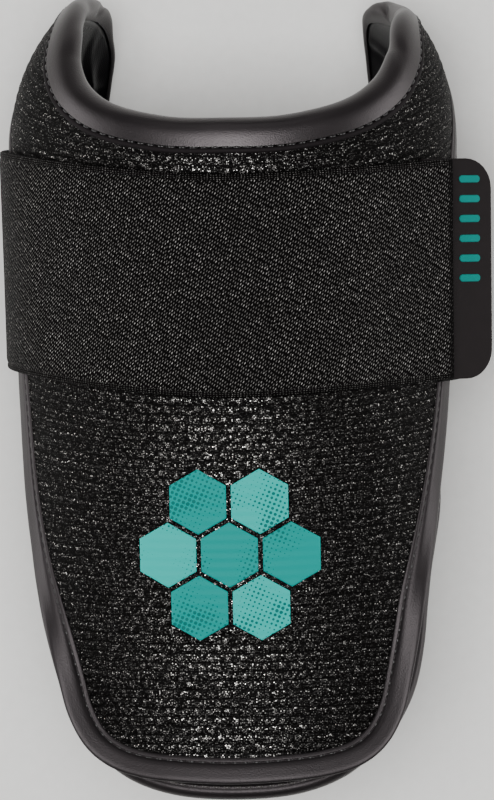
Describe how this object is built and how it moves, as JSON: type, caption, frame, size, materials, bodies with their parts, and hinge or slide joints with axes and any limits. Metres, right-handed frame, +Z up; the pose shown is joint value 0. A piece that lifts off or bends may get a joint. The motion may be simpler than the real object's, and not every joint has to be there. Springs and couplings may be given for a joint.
{
  "type": "elbow guard",
  "caption": "Padded half-sleeve elbow guard with a ribbed mesh front shield, bound edges, a padded roll round its scooped top and a wide elastic strap with a pull tab.",
  "frame": {"origin": "middle of the flat underside that it lies on, on the strap's rear span, in the guard's middle plane", "axes": "+Z up, out of the front of the guard, +Y along the arm to the scooped upper edge, X across it"},
  "size_m": [0.1334, 0.2148, 0.096],
  "materials": {
    "lining": "smooth coated lining over foam",
    "mesh": "ribbed knit mesh",
    "binding": "satin coated leather look",
    "elastic": "woven elastic",
    "tab": "matte moulded"
  },
  "bodies": {
    "root": {"inner_pad": "lining", "front_panel": "mesh", "top_roll": "binding", "panel_binding": "binding", "pad_binding": "binding", "strap": "elastic", "pull_tab": "tab"}
  },
  "joints": []
}
